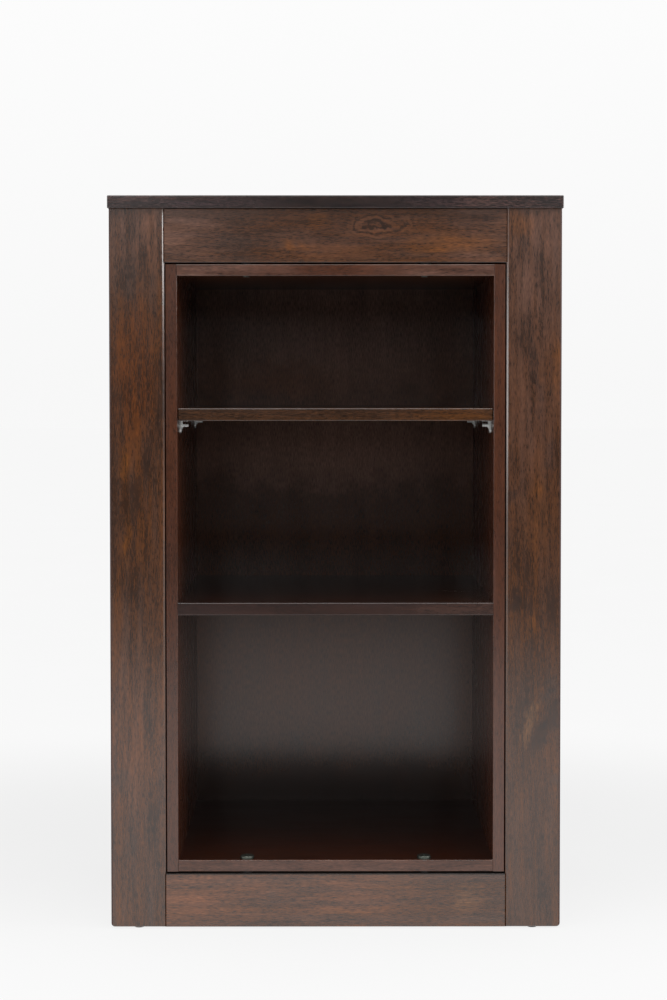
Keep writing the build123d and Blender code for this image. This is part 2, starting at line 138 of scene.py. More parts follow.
# waves of each noise per metre: along the grain, across the face, through the board
SPECK_WAVES = (125.0, 1000.0, 1000.0)
FIBRE_WAVES = (55.0, 330.0, 330.0)
STREAK_WAVES = (14.0, 150.0, 150.0)
CLOUD_WAVES = (9.0, 32.0, 32.0)
HUE_WAVES = (6.5, 95.0, 95.0)
PEEL_WAVES = (60.0, 110.0, 110.0)
CHIP_WAVES = (160.0, 420.0, 420.0)
RING_WOBBLE_WAVES = (2.2, 9.0, 9.0)
SAWN_FIBRE_WAVES = (30.0, 700.0, 700.0)
SAW_MARK_WAVES = (500.0, 12.0, 12.0)

STAINED_RING_SPACING = 0.0065
SAWN_RING_SPACING = 0.0045
RING_SWAY = 0.035
POLISH_REACH = 4.0 * MILLIMETRE
WOOD_RELIEF = 0.5 * MILLIMETRE
EYE_RIPPLES = 18.0
EYE_CONTRAST = 0.60
COAT_ROUGHNESS = 0.19
PORE_SHARE = 0.12


def board_coordinates(graph, grain, face, offset):
    """Where a point is in a board, and the node that separates its X, Y and Z in the frame.

    The first is (along the grain, across the face, through the board) in metres, with an offset
    so that boards differ.
    """
    across = next(axis for axis in AXES if axis not in (grain, face))
    separate = graph.node("ShaderNodeSeparateXYZ", {0: graph.object_coordinates()})
    combine = graph.node("ShaderNodeCombineXYZ")
    for socket, axis, shift in zip(combine.inputs, (grain, across, face), offset):
        graph.feed(socket, graph.maths("ADD", separate.outputs[axis], shift))
    return combine.outputs[0], separate


def growth_rings(graph, vector, pith, tilt, spacing):
    """Rings round a pith line that leans through the board, from 0 to 1 across each ring."""
    wobble = graph.waves(vector, RING_WOBBLE_WAVES)
    sway = graph.maths("MULTIPLY", graph.maths("SUBTRACT", wobble, 0.5), RING_SWAY)
    along, across, through = graph.node("ShaderNodeSeparateXYZ", {0: vector}).outputs
    leaning = graph.maths("MULTIPLY_ADD", along, tilt[0], across)
    across_pith = graph.maths("ADD", graph.maths("ADD", leaning, pith[0]), sway)
    leaning = graph.maths("MULTIPLY_ADD", along, tilt[1], through)
    through_pith = graph.maths("ADD", leaning, pith[1])
    square = graph.maths("MULTIPLY", across_pith, across_pith)
    square = graph.maths("ADD", square, graph.maths("MULTIPLY", through_pith, through_pith))
    radius = graph.maths("SQRT", square)
    return graph.maths("FRACT", graph.maths("DIVIDE", radius, spacing))


def edge_share(graph, separate, node_name, edges, reach):
    """1 where the listed sides of a node's box meet, falling to 0 at the reach from any of them.

    A side is written as its sign and axis, such as "-X". One side alone means all of that side.
    """
    low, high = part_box(node_name)
    farthest = None
    for side, axis in edges:
        index = AXES.index(axis)
        position = separate.outputs[axis]
        if side == "-":
            distance = graph.maths("SUBTRACT", position, low[index])
        else:
            distance = graph.maths("SUBTRACT", high[index], position)
        farthest = distance if farthest is None else graph.maths("MAXIMUM", farthest, distance)
    return graph.mapped(farthest, 0.4 * reach, reach, 1.0, 0.0, smooth=True)


def wandering(graph, grain):
    """The object's coordinates with an uneven shift, longer along the grain, for soft outlines."""
    coordinates = graph.object_coordinates()
    inputs = {"Vector": coordinates, "Scale": 32.0, "Detail": 3.0, "Roughness": 0.6}
    wave = graph.node("ShaderNodeTexNoise", inputs).outputs["Color"]
    centred = graph.vectors("SUBTRACT", wave, (0.5, 0.5, 0.5)).outputs[0]
    reach = [0.08 if axis == grain else 0.022 for axis in AXES]
    shift = graph.vectors("MULTIPLY", centred, reach).outputs[0]
    return graph.vectors("ADD", coordinates, shift).outputs[0]


def oval_distance(graph, coordinates, x, z, half_width, half_height, lean=0.0):
    """Distance from a point of the front face, 1 on an oval round it. The lean is in degrees."""
    inputs = {
        "Vector": coordinates,
        "Location": (x, 0.0, z),
        "Rotation": (0.0, math.radians(lean), 0.0),
        "Scale": (half_width, 1000.0, half_height),
    }
    place = graph.node("ShaderNodeMapping", inputs, vector_type="TEXTURE")
    return graph.vectors("LENGTH", place.outputs[0]).outputs["Value"]


def stain_and_painted_light(graph, vector, grain, streaks, look):
    """The stain: greyer and warmer bands along the grain, and the look's patches on the front:
    uneven stain, and in places painted sheen, painted light and painted shade.
    """
    hues = graph.waves(vector, HUE_WAVES, 2.0, 0.55)
    grey = graph.mapped(hues, 0.48, 0.74, 0.0, look["grey_share"])
    body = graph.mixed(grey, look["body"], look["grey"])
    warm = graph.mapped(hues, 0.52, 0.26, 0.0, look["warm_share"])
    body = graph.mixed(warm, body, look["warm"])
    if "patches" in look:
        coordinates = wandering(graph, grain)
        lively = graph.mapped(streaks, 0.35, 0.60, look["calm"], 1.0)
        for kind, share, *oval in look["patches"]:
            distance = oval_distance(graph, coordinates, *oval)
            inside = graph.mapped(distance, 0.1, 1.5, share, 0.0, smooth=True)
            share_here = graph.maths("MULTIPLY", inside, lively)
            # each patch is stain, painted sheen, painted light or painted shade, as its kind says
            body = graph.mixed(share_here, body, PATCH_COLOURS[kind])
    return body


def brightness(graph, grain, parts, look):
    """How bright the stain is from place to place: the noises, the rings and the oval figure."""
    tone = look["middle"]
    for part, contrast in parts:
        centred = graph.maths("SUBTRACT", part, 0.5)
        tone = graph.maths("MULTIPLY_ADD", centred, contrast, tone)
    if "eye" in look:
        distance = oval_distance(graph, wandering(graph, grain), *look["eye"])
        ripple = graph.maths("SINE", graph.maths("MULTIPLY", distance, EYE_RIPPLES))
        fade = graph.mapped(distance, 0.2, 1.4, EYE_CONTRAST, 0.0, smooth=True)
        tone = graph.maths("MULTIPLY_ADD", ripple, fade, tone)
    return graph.mapped(tone, 0.35, 2.2, 0.35, 2.2)


def dull_and_shade_inner_faces(graph, separate, node_name, look, body, roughness, coat):
    """Away from the polished side the colour is multiplied by the inner tint, a darker stain and,
    inside the compartments, painted shade; the lacquer is thinner and duller there.
    """
    polish = edge_share(graph, separate, node_name, look["polished"], POLISH_REACH)
    # painted shade: the inner tint darkens the faces away from the front, inside the compartments
    body = graph.mixed(polish, graph.mixed(1.0, body, look["inner_stain_and_shade"], "MULTIPLY"), body)
    coat = graph.mapped(polish, 0.0, 1.0, look["inner_coat"], coat)
    roughness = graph.maths("MULTIPLY_ADD", polish, -look["inner_rough"], roughness)
    roughness = graph.maths("ADD", roughness, look["inner_rough"])
    return body, roughness, coat


def shaded_edges(graph, separate, node_name, look, body, roughness, coat):
    """Painted shade on the listed edges: a darker colour there, and a duller, thinner lacquer."""
    reach = look["edge_reach"] * MILLIMETRE
    edge = edge_share(graph, separate, node_name, look["edges"], reach)
    # painted shade: the edge colour darkens the listed edges
    body = graph.mixed(graph.maths("MULTIPLY", edge, 0.9), body, look["edge_shade_colour"])
    roughness = graph.maths("MULTIPLY_ADD", edge, 0.4, roughness)
    coat = graph.maths("MULTIPLY", coat, graph.mapped(edge, 0.0, 1.0, 1.0, 0.1))
    return body, roughness, coat


def bare_rear_half(graph, vector, separate, node_name, look, body, roughness, coat):
    """Bare hardboard on the rear half of the board's thickness."""
    low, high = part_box(node_name)
    middle = 0.5 * (low[1] + high[1])
    blur = 0.5 * MILLIMETRE
    rear = graph.mapped(separate.outputs["Y"], middle - blur, middle + blur)
    chips = graph.waves(vector, CHIP_WAVES, 3.0, 0.7)
    board = graph.mixed(graph.mapped(chips, 0.35, 0.65), *look["bare_rear"])
    body = graph.mixed(rear, body, board)
    coat = graph.mapped(rear, 0.0, 1.0, coat, 0.0)
    roughness = graph.maths("MULTIPLY_ADD", rear, 0.45, roughness)
    return body, roughness, coat


def stained_wood(name, node_name, grain, face, look, seed):
    """Dark stained, lacquered wood for one board: stain, fibres, pores and rings, and on some
    boards painted sheen, light and shade in patches, on inner faces and on edges.
    """
    graph = Graph(bpy.data.materials.new(name))
    offset = (0.37 * seed, 0.61 * seed % 1.7, 0.43 * seed % 1.3)
    vector, separate = board_coordinates(graph, grain, face, offset)
    spread = math.sin(seed * 2.4)
    pith = (-offset[1] + 0.05 * spread, -offset[2] + 0.07 + 0.02 * spread)
    tilt = (0.035 * math.sin(seed * 1.7), 0.03 * math.cos(seed * 2.9))
    rings = growth_rings(graph, vector, pith, tilt, STAINED_RING_SPACING)
    late_wood = graph.mapped(rings, 0.35, 0.97, smooth=True)
    specks = graph.waves(vector, SPECK_WAVES, 1.0)
    fibres = graph.waves(vector, FIBRE_WAVES, 3.0, 0.8)
    clouds = graph.waves(vector, CLOUD_WAVES, 3.0, 0.55, 0.4)
    streaks = graph.waves(vector, STREAK_WAVES)
    parts = (
        (specks, look["speck"]),
        (fibres, look["fibre"]),
        (streaks, look["streak"]),
        (clouds, look["cloud"]),
        (late_wood, -look["figure"]),
    )
    scaled = graph.node("ShaderNodeVectorMath", operation="SCALE")
    graph.feed(scaled.inputs[0], stain_and_painted_light(graph, vector, grain, streaks, look))
    graph.feed(scaled.inputs["Scale"], brightness(graph, grain, parts, look))
    pores = graph.mapped(specks, 0.60, 0.74, 0.0, PORE_SHARE, smooth=True)
    body = graph.mixed(pores, scaled.outputs[0], look["dark"])
    cloudy = graph.maths("SUBTRACT", clouds, 0.5)
    roughness = graph.maths("MULTIPLY_ADD", cloudy, 0.10, look["roughness"])
    roughness = graph.maths("MULTIPLY_ADD", pores, 0.10, roughness)

    layers = (body, roughness, look["coat"])
    if "polished" in look:
        layers = dull_and_shade_inner_faces(graph, separate, node_name, look, *layers)
    if "edges" in look:
        layers = shaded_edges(graph, separate, node_name, look, *layers)
    if "bare_rear" in look:
        layers = bare_rear_half(graph, vector, separate, node_name, look, *layers)
    body, roughness, coat = layers

    height = graph.maths("MULTIPLY_ADD", pores, -0.6, graph.maths("MULTIPLY", fibres, 0.8))
    peel = graph.waves(vector, PEEL_WAVES, 1.0)
    height = graph.maths("MULTIPLY_ADD", peel, 0.4, height)
    return graph.surface(
        {
            "Base Color": body,
            "Roughness": roughness,
            "IOR": look["ior"],
            "Normal": graph.bump(look["bump"], WOOD_RELIEF, height),
            "Coat Weight": coat,
            "Coat Roughness": COAT_ROUGHNESS,
        }
    )


def bare_wood(name, grain, face, seed, light, dark):
    """Unfinished sawn wood for the hidden battens, posts and dowels."""
    graph = Graph(bpy.data.materials.new(name))
    vector, _ = board_coordinates(graph, grain, face, (0.31 * seed, 0.53 * seed, 0.27 * seed))
    pith = (-0.53 * seed + 0.02, -0.27 * seed + 0.06)
    rings = growth_rings(graph, vector, pith, (0.02, 0.03), SAWN_RING_SPACING)
    fibres = graph.waves(vector, SAWN_FIBRE_WAVES, 3.0, 0.6)
    saw_marks = graph.waves(vector, SAW_MARK_WAVES, 1.0)
    share = graph.maths("MULTIPLY_ADD", fibres, 0.6, graph.maths("MULTIPLY", rings, 0.4))
    height = graph.maths("MULTIPLY_ADD", saw_marks, 0.5, fibres)
    return graph.surface(
        {
            "Base Color": graph.mixed(share, light, dark),
            "Roughness": graph.mapped(fibres, 0.3, 0.7, 0.6, 0.8),
            "Normal": graph.bump(0.3, WOOD_RELIEF, height),
        }
    )


# ---------------------------------------------------------------- metal and plastic

SCRATCH_WAVES = (60.0, 3000.0, 3000.0)
STAIN_WAVES = 350.0
MOULD_GRAIN_WAVES = 2500.0
DUST_WAVES = 260.0


def plated_metal(name, base, stained, roughness, metallic=1.0):
    """Plated metal with fine scratches and a slightly uneven shine."""
    graph = Graph(bpy.data.materials.new(name))
    coordinates = graph.object_coordinates()
    scratches = graph.waves(coordinates, SCRATCH_WAVES)
    stains = graph.noise(coordinates, STAIN_WAVES, 3.0)
    scratched = graph.maths("SUBTRACT", scratches, 0.5)
    return graph.surface(
        {
            "Base Color": graph.mixed(graph.mapped(stains, 0.35, 0.7), base, stained),
            "Metallic": metallic,
            "Roughness": graph.maths("MULTIPLY_ADD", scratched, 0.25, roughness),
            "Normal": graph.bump(0.15, 0.1 * MILLIMETRE, scratches),
        }
    )


def moulded_plastic(name, base, dusty):
    """Matt moulded plastic with a fine grain."""
    graph = Graph(bpy.data.materials.new(name))
    coordinates = graph.object_coordinates()
    grain = graph.noise(coordinates, MOULD_GRAIN_WAVES)
    dust = graph.noise(coordinates, DUST_WAVES, 3.0)
    return graph.surface(
        {
            "Base Color": graph.mixed(graph.mapped(dust, 0.5, 0.8), base, dusty),
            "Roughness": graph.mapped(grain, 0.3, 0.7, 0.5, 0.65),
            "Normal": graph.bump(0.25, 0.2 * MILLIMETRE, grain),
        }
    )


# ---------------------------------------------------------------- finishes of this bookcase

# A look holds its colours of stain, the contrast of each noise and of the rings ("figure"), and
# the lacquer. "calm" is how much of a patch stays between the streaks. The inner values hold
# away from the polished side, and "edge_reach" is in millimetres.
PLAIN_LOOK = {
    "middle": 1.0,
    "speck": 2.6,
    "fibre": 2.0,
    "streak": 1.4,
    "cloud": 1.3,
    "figure": 0.15,
    "grey_share": 0.5,
    "warm_share": 0.5,
    "calm": 0.45,
    "roughness": 0.22,
    "coat": 1.0,
    "ior": 1.5,
    "bump": 0.08,
    "edge_reach": 1.6,
}
FRAME_LOOK = {
    **PLAIN_LOOK,
    "dark": colour(0.017, 0.0075, 0.0045),
    "body": colour(0.056, 0.0195, 0.0065),
    "grey": colour(0.048, 0.0270, 0.0200),
    "warm": colour(0.088, 0.0260, 0.0020),
    # painted shade for the stiles' outer front arrises
    "edge_shade_colour": colour(0.030, 0.003, 0.001),
    "polished": ("-Y",),
    "inner_coat": 0.05,
    "inner_rough": 0.28,
    "inner_stain_and_shade": colour(0.9, 0.9, 0.9),
}
CASE_LOOK = {
    **PLAIN_LOOK,
    "dark": colour(0.026, 0.0080, 0.0045),
    "body": colour(0.058, 0.0185, 0.0085),
    "grey": colour(0.050, 0.0240, 0.0180),
    "warm": colour(0.072, 0.0200, 0.0050),
    "fibre": 1.4,
    "speck": 1.8,
    "streak": 0.8,
    "cloud": 0.6,
    "figure": 0.08,
    "grey_share": 0.35,
    "warm_share": 0.35,
    "bump": 0.06,
    "ior": 1.4,
}
SHELF_LOOK = {
    **CASE_LOOK,
    "dark": colour(0.016, 0.0070, 0.0035),
    "body": colour(0.039, 0.0160, 0.0070),
    "grey": colour(0.038, 0.0210, 0.0140),
    "warm": colour(0.060, 0.0200, 0.0030),
    "fibre": 2.0,
    "speck": 2.8,
    "streak": 1.2,
    "cloud": 1.0,
    "figure": 0.22,
}
FIXED_SHELF_LOOK = {
    **CASE_LOOK,
    "dark": colour(0.010, 0.0035, 0.0025),
    "body": colour(0.022, 0.0080, 0.0055),
    "grey": colour(0.024, 0.0130, 0.0120),
    "warm": colour(0.030, 0.0090, 0.0030),
    "coat": 0.75,
}
TOP_LOOK = {
    **FRAME_LOOK,
    "dark": colour(0.005, 0.0025, 0.0025),
    "body": colour(0.020, 0.0100, 0.0100),
    "grey": colour(0.032, 0.0210, 0.0240),
    "warm": colour(0.034, 0.0130, 0.0065),
    "coat": 0.7,
    "fibre": 4.0,
    "speck": 5.5,
    "streak": 3.0,
    "cloud": 2.0,
    "bump": 0.3,
    "inner_coat": 0.0,
    "inner_rough": 0.16,
    "inner_stain_and_shade": colour(0.85, 0.80, 0.75),
}
BACK_LOOK = {
    **CASE_LOOK,
    "dark": colour(0.024, 0.0080, 0.0035),
    "body": colour(0.056, 0.0190, 0.0075),
    "grey": colour(0.050, 0.0260, 0.0180),
    "warm": colour(0.090, 0.0260, 0.0040),
    "speck": 2.2,
    "fibre": 0.45,
    "streak": 0.2,
    "figure": 0.02,
    "grey_share": 0.15,
    "warm_share": 0.15,
    "calm": 0.9,
    "coat": 0.75,
    "bare_rear": (colour(0.150, 0.0850, 0.0450), colour(0.235, 0.1450, 0.0820)),
}
# case boards and shelves: polished front edge, with painted shade and thin, dull lacquer on the
# faces inside the compartments
FRONT_POLISH_INNER_SHADE = {
    "polished": ("-Y",),
    "inner_coat": 0.03,
    "inner_rough": 0.02,
    "inner_stain_and_shade": colour(0.55, 0.38, 0.22),
}
SIDE_POLISH = {
    "coat": 0.1,
    "roughness": 0.36,
    "inner_rough": 0.0,
    "ior": 1.3,
}
# case sides: polished front edge, with painted shade and thin, dull lacquer on the faces inside the
# compartments
WALL_POLISH_INNER_SHADE = {
    "polished": ("-Y",),
    "inner_coat": 0.15,
    "inner_rough": 0.05,
    "inner_stain_and_shade": colour(0.95, 0.78, 0.60),
    "bump": 0.015,
}

PATCH_COLOURS = {
    "orange": colour(0.140, 0.0430, 0.0030),
    "amber": colour(0.082, 0.0200, 0.0010),
    "pale": colour(0.190, 0.0900, 0.0350),
    # dark stain; on the back panel and the top board's front it is painted shade
    "dark": colour(0.012, 0.0060, 0.0045),
    "grey": colour(0.026, 0.0190, 0.0170),
    "brown": colour(0.140, 0.0470, 0.0180),
    # painted sheen: the grey of the lacquer's reflection of the bright studio, painted into the
    # colour
    "painted_sheen": colour(0.120, 0.0600, 0.0430),
    # painted light: the lighter upper part of each compartment's back panel
    "painted_light": colour(0.230, 0.1150, 0.0800),
}

# patches on the front faces, of uneven stain and, by kind, of painted sheen, painted light and
# painted shade:
# kind, share, middle x and z, half width, half height, lean in degrees
LEFT_STILE_PATCHES = (
    # painted sheen at the top of the stile
    ("painted_sheen", 0.40, -0.2675, 0.950, 0.060, 0.070, 0.0),
    ("brown", 0.30, -0.2675, 0.235, 0.060, 0.130, 0.0),
    ("grey", 0.65, -0.2785, 0.881, 0.015, 0.040, 0.0),
    ("grey", 0.35, -0.2500, 0.868, 0.012, 0.030, 0.0),
    ("amber", 0.75, -0.2690, 0.748, 0.035, 0.100, 0.0),
    ("dark", 0.60, -0.3020, 0.742, 0.008, 0.130, 0.0),
    ("dark", 0.35, -0.2350, 0.700, 0.010, 0.060, 0.0),
    ("orange", 0.70, -0.2825, 0.632, 0.005, 0.028, 0.0),
    ("orange", 0.65, -0.2798, 0.526, 0.005, 0.032, 0.0),
    ("dark", 0.60, -0.2664, 0.591, 0.011, 0.022, 0.0),
    ("dark", 0.45, -0.2557, 0.628, 0.010, 0.024, 0.0),
    ("dark", 0.60, -0.3000, 0.554, 0.009, 0.130, 0.0),
    ("grey", 0.50, -0.2919, 0.202, 0.014, 0.014, 0.0),
    ("grey", 0.55, -0.2751, 0.111, 0.010, 0.015, 0.0),
)
RIGHT_STILE_PATCHES = (
    # painted sheen at the top of the stile
    ("painted_sheen", 0.50, 0.2675, 0.930, 0.080, 0.130, 0.0),
    ("dark", 0.75, 0.2696, 0.750, 0.006, 0.080, -6.6),
    ("orange", 0.70, 0.2723, 0.591, 0.010, 0.012, 0.0),
    ("orange", 0.35, 0.2703, 0.567, 0.020, 0.065, 0.0),
    ("dark", 0.65, 0.2381, 0.585, 0.008, 0.016, 0.0),
    ("dark", 0.70, 0.2421, 0.440, 0.013, 0.016, 0.0),
    ("dark", 0.60, 0.2918, 0.641, 0.010, 0.024, 0.0),
    ("dark", 0.60, 0.2918, 0.446, 0.010, 0.040, 0.0),
    ("orange", 0.55, 0.2649, 0.404, 0.009, 0.018, 0.0),
    ("orange", 0.50, 0.2475, 0.951, 0.016, 0.016, 0.0),
    ("orange", 0.60, 0.2958, 0.768, 0.006, 0.028, 0.0),
    ("dark", 0.90, 0.2803, 0.271, 0.013, 0.046, 30.0),
    ("pale", 0.50, 0.2635, 0.283, 0.006, 0.032, 20.0),
    # painted sheen down the middle of the stile
    ("painted_sheen", 0.28, 0.2675, 0.700, 0.060, 0.190, 0.0),
    ("grey", 0.55, 0.2864, 0.326, 0.010, 0.016, 40.0),
    ("grey", 0.50, 0.2938, 0.196, 0.010, 0.012, 0.0),
)
TOP_RAIL_PATCHES = (
    # painted sheen along the rail, stronger towards both ends
    ("painted_sheen", 0.60, -0.2100, 0.940, 0.070, 0.060, 0.0),
    ("painted_sheen", 0.20, 0.0000, 0.935, 0.140, 0.050, 0.0),
    ("painted_sheen", 0.45, 0.2000, 0.940, 0.060, 0.060, 0.0),
    ("orange", 0.60, 0.1603, 0.925, 0.060, 0.014, 0.0),
    ("orange", 0.45, 0.1200, 0.916, 0.025, 0.006, 0.0),
    ("orange", 0.50, -0.0584, 0.921, 0.014, 0.010, 0.0),
    ("orange", 0.45, -0.0222, 0.954, 0.012, 0.011, 0.0),
    ("grey", 0.45, -0.1309, 0.925, 0.034, 0.024, 0.0),
    ("dark", 0.80, 0.1985, 0.958, 0.012, 0.004, 0.0),
    ("dark", 0.85, 0.0640, 0.949, 0.014, 0.006, 0.0),
    ("dark", 0.35, 0.0300, 0.925, 0.040, 0.006, 0.0),
)
BOTTOM_RAIL_PATCHES = (
    ("brown", 0.60, -0.1818, 0.048, 0.090, 0.050, 0.0),
    ("grey", 0.60, -0.0893, 0.040, 0.018, 0.012, 0.0),
    ("orange", 0.50, 0.0127, 0.021, 0.040, 0.005, 0.0),
    ("brown", 0.40, 0.0000, 0.045, 0.110, 0.050, 0.0),
    ("pale", 0.22, 0.1800, 0.040, 0.018, 0.022, 0.0),
)
# painted reflection on the top board's front: painted shade in the middle, painted sheen towards
# both ends
TOP_PATCHES = (
    ("dark", 1.0, 0.0000, 0.975, 0.150, 0.020, 0.0),
    ("painted_sheen", 0.12, -0.2800, 0.975, 0.060, 0.020, 0.0),
    ("painted_sheen", 0.30, 0.2500, 0.975, 0.090, 0.020, 0.0),
)
# painted sheen on the case top's front edge, left and right
CASE_TOP_PATCHES = (
    ("painted_sheen", 0.85, -0.1700, 0.889, 0.110, 0.030, 0.0),
    ("painted_sheen", 0.85, 0.1700, 0.889, 0.110, 0.030, 0.0),
)
# painted light and shade on the back panel: lighter at the top of the upper and middle
# compartments, brown in the middle of the lower one, darker at the bottom of the lower and middle
# compartments
BACK_PATCHES = (
    ("painted_light", 0.95, 0.0000, 0.810, 0.300, 0.090, 0.0),
    ("brown", 0.60, -0.0850, 0.742, 0.080, 0.030, 0.0),
    ("painted_light", 0.75, 0.0000, 0.635, 0.300, 0.060, 0.0),
    ("brown", 0.75, -0.0300, 0.300, 0.260, 0.130, 0.0),
    ("dark", 0.95, 0.0000, 0.100, 0.500, 0.075, 0.0),
    ("dark", 0.55, 0.0000, 0.450, 0.500, 0.050, 0.0),
)

# grain axis, face axis, seed, look, and what this board changes in it
BOARDS = {
    "left_stile": (
        "Z", "Y", 3, FRAME_LOOK,
        {
            # painted shade on the outer front arris
            "edges": ("-X", "-Y"),
            "edge_reach": 2.8,
            "patches": LEFT_STILE_PATCHES,
            "speck": 2.7,
            "cloud": 1.7,
        },
    ),
    "right_stile": (
        "Z", "Y", 8, FRAME_LOOK,
        {
            # painted shade on the outer front arris
            "edges": ("+X", "-Y"),
            "edge_reach": 2.8,
            "patches": RIGHT_STILE_PATCHES,
            "speck": 2.4,
            "fibre": 1.3,
            "streak": 0.9,
            "cloud": 1.6,
            "grey_share": 0.35,
        },
    ),
    "top_rail": (
        "X", "Y", 5, FRAME_LOOK,
        {
            "patches": TOP_RAIL_PATCHES,
            "eye": (0.0583, 0.950, 0.046, 0.020),
            "fibre": 1.3,
            "streak": 1.0,
        },
    ),
    "bottom_rail": (
        "X", "Y", 11, FRAME_LOOK,
        {
            "middle": 1.1,
            "speck": 3.2,
            "patches": BOTTOM_RAIL_PATCHES,
            # painted shadow along the rail's top, in the slot under the case
            "edges": ("+Z",),
            "edge_shade_colour": colour(0.004, 0.002, 0.001),
        },
    ),
    "left_outer_side": ("Z", "X", 31, FRAME_LOOK, SIDE_POLISH),
    "right_outer_side": ("Z", "X", 34, FRAME_LOOK, SIDE_POLISH),
    "top_board": ("X", "Z", 37, TOP_LOOK, {"patches": TOP_PATCHES}),
    "case_left_side": ("Z", "X", 14, CASE_LOOK, WALL_POLISH_INNER_SHADE),
    "case_right_side": (
        "Z", "X", 17, CASE_LOOK,
        # painted shade on the right wall's inner face
        {**WALL_POLISH_INNER_SHADE, "middle": 1.2, "inner_stain_and_shade": colour(0.72, 0.56, 0.42)},
    ),
    "case_top": ("X", "Z", 19, CASE_LOOK, {**FRONT_POLISH_INNER_SHADE, "patches": CASE_TOP_PATCHES}),
    "case_bottom": (
        "X", "Z", 22, CASE_LOOK,
        {
            **FRONT_POLISH_INNER_SHADE,
            # painted sheen along the case bottom's front edge
            "patches": (("painted_sheen", 0.35, 0.0, 0.085, 0.500, 0.050, 0.0),),
            # strong painted shade on the case floor
            "inner_stain_and_shade": colour(0.27, 0.15, 0.08),
            "inner_rough": 0.12,
            "ior": 1.25,
        },
    ),
    "fixed_shelf": (
        "X", "Z", 25, FIXED_SHELF_LOOK,
        # painted sheen at the fixed shelf's right end
        {**FRONT_POLISH_INNER_SHADE, "patches": (("painted_sheen", 0.20, 0.180, 0.433, 0.080, 0.030, 0.0),)},
    ),
    "adjustable_shelf": (
        "X", "Z", 28, SHELF_LOOK,
        {
            **FRONT_POLISH_INNER_SHADE,
            # light painted shade on the shelf's top and underside
            "inner_stain_and_shade": colour(0.90, 0.80, 0.65),
            "patches": (("orange", 0.25, 0.160, 0.695, 0.070, 0.030, 0.0),),
        },
    ),
    "back_panel": ("Z", "Y", 40, BACK_LOOK, {"patches": BACK_PATCHES}),
}
# grain axis, face axis, seed
HIDDEN_BOARDS = {
    "left_rear_post": ("Z", "Y", 2),
    "right_rear_post": ("Z", "Y", 4),
    "rear_top_rail": ("X", "Y", 6),
    "rear_bottom_rail": ("X", "Y", 7),
    "left_top_cleat": ("Y", "Z", 9),
    "right_top_cleat": ("Y", "Z", 10),
    "left_case_bearer": ("Y", "Z", 12),
    "right_case_bearer": ("Y", "Z", 13),
}


def paint(node_name, material):
    """Gives every material slot of a CAD node this material."""
    for place in nodes[node_name].material_slots:
        place.material = material


for node_name, (grain, face, seed, look, changes) in BOARDS.items():
    material = stained_wood(f"wood_{node_name}", node_name, grain, face, {**look, **changes}, seed)
    paint(node_name, material)

PALE_WOOD = (colour(0.52, 0.36, 0.20), colour(0.33, 0.20, 0.10))
for node_name, (grain, face, seed) in HIDDEN_BOARDS.items():
    paint(node_name, bare_wood(f"bare_{node_name}", grain, face, seed, *PALE_WOOD))
for node_name in ("rail_dowels", "rear_rail_dowels"):
    paint(node_name, bare_wood(f"bare_{node_name}", "X", "Y", 15, *PALE_WOOD))

zinc = plated_metal(
    "zinc_plate", colour(0.62, 0.63, 0.64), colour(0.42, 0.44, 0.46), roughness=0.3
)
bright = plated_metal(
    "bright_nickel",
    colour(0.93, 0.94, 0.92),
    colour(0.74, 0.76, 0.74),
    roughness=0.3,
    metallic=0.5,
)
antique = plated_metal(
    "antique_plate", colour(0.105, 0.115, 0.10), colour(0.06, 0.066, 0.057), roughness=0.46
)
brass = plated_metal(
    "plain_brass", colour(0.78, 0.57, 0.26), colour(0.55, 0.38, 0.16), roughness=0.3
)
black = moulded_plastic("black_plastic", colour(0.012, 0.012, 0.013), colour(0.03, 0.03, 0.03))

for node_name in nodes:
    if node_name.endswith("_screws") or node_name == "glide_nails":
        paint(node_name, zinc)
    elif node_name.startswith("shelf_support"):
        paint(node_name, bright)
    elif node_name.startswith("floor_glide") or node_name == "gap_spacers":
        paint(node_name, black)
paint("frame_bolts", antique)
paint("bolt_inserts", brass)

# ---------------------------------------------------------------- floor, light and camera

WHITE = colour(1.0, 1.0, 1.0)


def paper_material():
    """White studio paper that shines by itself, a little less beside and behind the bookcase: a
    painted soft shadow.
    """
    graph = Graph(bpy.data.materials.new("studio_paper"))
    coordinates = graph.object_coordinates()
    mottle = graph.noise(coordinates, 3.0)
    inputs = {"Vector": coordinates, "Location": (0.0, 0.45, 0.0), "Scale": (1.0, 0.6, 1.0)}
    place = graph.node("ShaderNodeMapping", inputs, vector_type="TEXTURE")
    distance = graph.vectors("LENGTH", place.outputs[0]).outputs["Value"]
    return graph.surface(
        {
            "Base Color": graph.mixed(
                mottle, colour(0.055, 0.055, 0.055), colour(0.065, 0.065, 0.065)
            ),
            "Roughness": 0.9,
            "Specular IOR Level": 0.0,
            "Emission Color": WHITE,
            # painted shadow: the paper glows less near the bookcase
            "Emission Strength": graph.mapped(distance, 0.4, 1.6, 0.80, 0.875, smooth=True),
        }
    )


def add_floor(front, rear, half_width):
    """Paper floor from in front of the camera to far behind the bookcase."""
    mesh = bpy.data.meshes.new("studio_floor")
    corners = [
        (-half_width, front, 0.0),
        (half_width, front, 0.0),
        (half_width, rear, 0.0),
        (-half_width, rear, 0.0),
    ]
    mesh.from_pydata(corners, [], [(0, 1, 2, 3)])
    floor = bpy.data.objects.new("studio_floor", mesh)
    bpy.context.scene.collection.objects.link(floor)
    floor.data.materials.append(paper_material())


add_floor(front=-2.9, rear=30.0, half_width=14.0)


